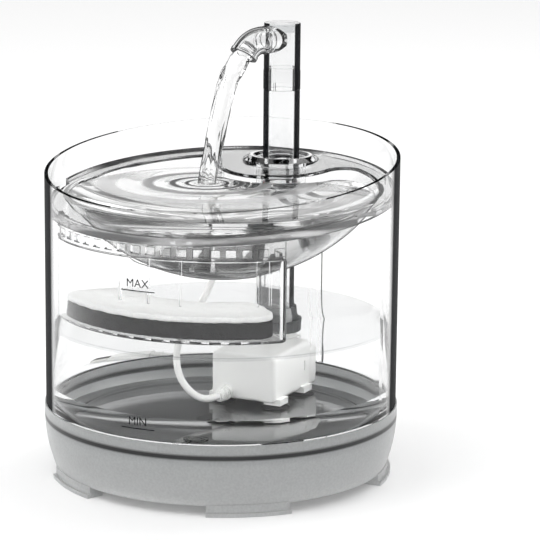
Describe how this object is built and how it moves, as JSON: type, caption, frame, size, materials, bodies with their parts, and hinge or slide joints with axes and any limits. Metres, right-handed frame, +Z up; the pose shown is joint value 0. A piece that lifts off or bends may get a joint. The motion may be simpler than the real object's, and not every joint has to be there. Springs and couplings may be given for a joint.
{
  "type": "pet water fountain",
  "caption": "Round clear pet water fountain with a sloping rim, drinking bowl, crescent filter box, swivelling spout, submerged pump, supply cord and frosted base",
  "frame": {"origin": "tank axis on the plane of the feet", "axes": "+Z up, -Y towards the drinking side with the level marks, +Y towards the spout's column"},
  "size_m": [0.2321, 0.2344, 0.2118],
  "materials": {
    "frosted_grey": "frosted translucent, fine texture",
    "clear_plastic": "polished clear plastic",
    "clear_tray": "polished clear plastic, faint grey",
    "white_abs": "moulded satin",
    "white_cord": "soft PVC, satin",
    "cotton": "needled polyester felt",
    "carbon": "carbon-loaded foam",
    "foam": "open-cell foam",
    "silicone": "soft translucent silicone",
    "dark_rubber": "moulded",
    "steel": "zinc plated",
    "iron_core": "laminated, lacquered",
    "magnet": "sintered ferrite",
    "ceramic_shaft": "ground ceramic",
    "plug_metal": "nickel plated"
  },
  "bodies": {
    "tank_body": {"base_shell": "frosted_grey", "base_deck": "frosted_grey", "base_plate": "frosted_grey", "base_screws": "steel", "tank": "clear_plastic", "riser_tube": "clear_plastic", "riser_collar": "dark_rubber", "riser_seal": "silicone", "pump_housing": "white_abs", "pump_cover": "white_abs", "pump_foam": "foam", "pump_stator": "iron_core", "pump_shaft": "ceramic_shaft", "pump_bushes": "dark_rubber", "pump_cups": "dark_rubber", "pump_gland": "white_cord", "cord_grommet": "silicone", "cord_inside": "white_cord", "cord_outside": "white_cord", "cord_coil": "white_cord", "usb_plug_body": "white_cord", "usb_plug_shell": "plug_metal"},
    "tray": {"drinking_tray": "clear_tray", "drain_comb": "clear_tray"},
    "filter": {"filter_box": "clear_plastic", "filter_carbon": "carbon", "filter_cotton": "cotton"},
    "faucet": {"faucet_stem": "clear_plastic", "faucet_seal": "silicone"},
    "head": {"faucet_head": "clear_plastic", "spout": "clear_plastic", "faucet_cap": "clear_plastic"},
    "rotor": {"pump_magnet": "magnet", "pump_impeller": "white_abs"}
  },
  "joints": [
    {"name": "tray_lift", "type": "slide", "parent": "tank_body", "child": "tray", "axis": [0, 0, 1], "range_m": [0, 0.095]},
    {"name": "filter_unclip", "type": "slide", "parent": "tray", "child": "filter", "axis": [0, 0, -1], "range_m": [0, 0.045]},
    {"name": "faucet_pull", "type": "slide", "parent": "tray", "child": "faucet", "axis": [0, 0, 1], "range_m": [0, 0.03]},
    {"name": "spout_swivel", "type": "hinge", "parent": "faucet", "child": "head", "pos_m": [0, 0.0652, 0.183], "axis": [0, 0, 1], "range_deg": [-23, 67]},
    {"name": "rotor_spin", "type": "hinge", "parent": "tank_body", "child": "rotor", "pos_m": [0, 0.056, 0.039], "axis": [0, 1, 0], "continuous": true}
  ]
}
